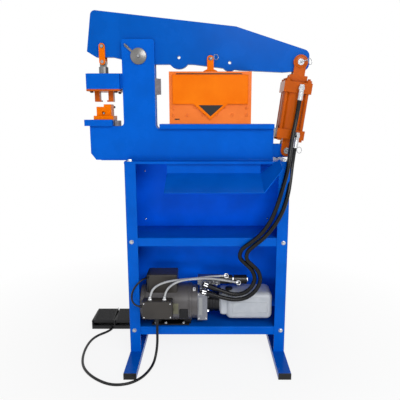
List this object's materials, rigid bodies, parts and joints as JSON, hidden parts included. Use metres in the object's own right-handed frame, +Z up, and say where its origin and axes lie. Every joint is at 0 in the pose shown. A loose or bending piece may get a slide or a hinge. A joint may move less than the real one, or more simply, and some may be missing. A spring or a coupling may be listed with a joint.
{
  "type": "hydraulic ironworker",
  "caption": "Free-standing hydraulic ironworker: one rocking arm works a punch and a shear, lifted by a cylinder, with the power unit in its sheet metal stand.",
  "frame": {"origin": "floor level, under the middle of the machine's box without its leads", "axes": "+Z up, -Y towards the operator, +X towards the cylinder"},
  "size_m": [0.9904, 0.6073, 1.4451],
  "materials": {
    "blue_enamel": "gloss",
    "orange_enamel": "gloss",
    "bright_steel": "polished",
    "bare_steel": "satin",
    "motor_enamel": "satin",
    "cast_aluminium": "machined",
    "black_plastic": "matt",
    "tank_plastic": "translucent",
    "hose_rubber": "matt",
    "conduit_plastic": "ribbed"
  },
  "bodies": {
    "frame": {"stand_side_left": "blue_enamel", "stand_side_right": "blue_enamel", "foot_left": "blue_enamel", "foot_right": "blue_enamel", "foot_caps": "black_plastic", "lower_tray": "blue_enamel", "mid_shelf": "blue_enamel", "back_panel": "blue_enamel", "base_plate": "blue_enamel", "frame_plate_front": "blue_enamel", "frame_plate_rear": "blue_enamel", "frame_spacers": "blue_enamel", "cylinder_lug": "blue_enamel", "die_table": "blue_enamel", "shear_table": "blue_enamel", "table_stop": "bare_steel", "gauge_block": "blue_enamel", "frame_pins": "bright_steel", "pin_washers": "bare_steel", "guide_block": "blue_enamel", "stripper": "orange_enamel", "die_holder": "orange_enamel", "shear_housing": "orange_enamel", "shear_guard": "orange_enamel", "chute": "blue_enamel", "motor": "motor_enamel", "motor_base": "motor_enamel", "capacitor_cover": "motor_enamel", "control_box": "motor_enamel", "pump_block": "cast_aluminium", "valve_manifold": "cast_aluminium", "solenoid_coils": "black_plastic", "pump_body": "black_plastic", "tank": "tank_plastic", "pedal_base": "black_plastic", "hose_ports": "bright_steel", "hose_one_lower": "hose_rubber", "hose_two": "hose_rubber", "conduit_left": "conduit_plastic", "conduit_right": "conduit_plastic", "motor_lead": "hose_rubber", "pedal_cord": "hose_rubber"},
    "arm": {"arm": "blue_enamel", "arm_pins": "bright_steel"},
    "ram": {"ram": "bare_steel", "ram_pin": "bright_steel"},
    "link": {"punch_links": "orange_enamel"},
    "carrier": {"blade_carrier": "orange_enamel"},
    "barrel": {"cylinder_base": "orange_enamel", "cylinder_tube": "orange_enamel", "cylinder_head": "orange_enamel", "tie_rods": "orange_enamel", "port_fittings": "bright_steel", "hose_one_upper": "hose_rubber"},
    "rod": {"piston_rod": "bright_steel", "rod_clevis": "orange_enamel"},
    "left_treadle": {"treadle_left": "black_plastic"},
    "right_treadle": {"treadle_right": "black_plastic"}
  },
  "joints": [
    {"name": "arm_hinge", "type": "hinge", "parent": "frame", "child": "arm", "pos_m": [-0.202, 0, 1.267], "axis": [0, -1, 0], "range_deg": [0, 11.3]},
    {"name": "ram_slide", "type": "slide", "parent": "frame", "child": "ram", "axis": [0, 0, -1], "range_m": [0, 0.0302]},
    {"name": "link_hinge", "type": "hinge", "parent": "ram", "child": "link", "pos_m": [-0.351, 0, 1.247], "axis": [0, -1, 0], "range_deg": [0, 5.31]},
    {"name": "carrier_slide", "type": "slide", "parent": "frame", "child": "carrier", "axis": [0, 0, 1], "range_m": [0, 0.0575]},
    {"name": "barrel_hinge", "type": "hinge", "parent": "frame", "child": "barrel", "pos_m": [0.404, 0, 0.89], "axis": [0, -1, 0], "range_deg": [0, 2.89]},
    {"name": "rod_slide", "type": "slide", "parent": "barrel", "child": "rod", "axis": [0.1281, 0, 0.9918], "range_m": [0, 0.1274]},
    {"name": "left_treadle_hinge", "type": "hinge", "parent": "frame", "child": "left_treadle", "pos_m": [-0.4382, 0.248, 0.0375], "axis": [1, 0, 0], "range_deg": [0, 3.5], "stiffness_Nm_per_rad": 6, "springref_deg": -5.73},
    {"name": "right_treadle_hinge", "type": "hinge", "parent": "frame", "child": "right_treadle", "pos_m": [-0.3302, 0.248, 0.0375], "axis": [1, 0, 0], "range_deg": [0, 3.5], "stiffness_Nm_per_rad": 6, "springref_deg": -5.73}
  ],
  "couplings": [
    {"joint": "ram_slide", "follows": "arm_hinge", "m_per_rad": 0.15057},
    {"joint": "link_hinge", "follows": "arm_hinge", "ratio": 0.46089},
    {"joint": "carrier_slide", "follows": "arm_hinge", "m_per_rad": 0.28925},
    {"joint": "barrel_hinge", "follows": "arm_hinge", "ratio": 0.24725},
    {"joint": "rod_slide", "follows": "arm_hinge", "m_per_rad": 0.64351}
  ]
}
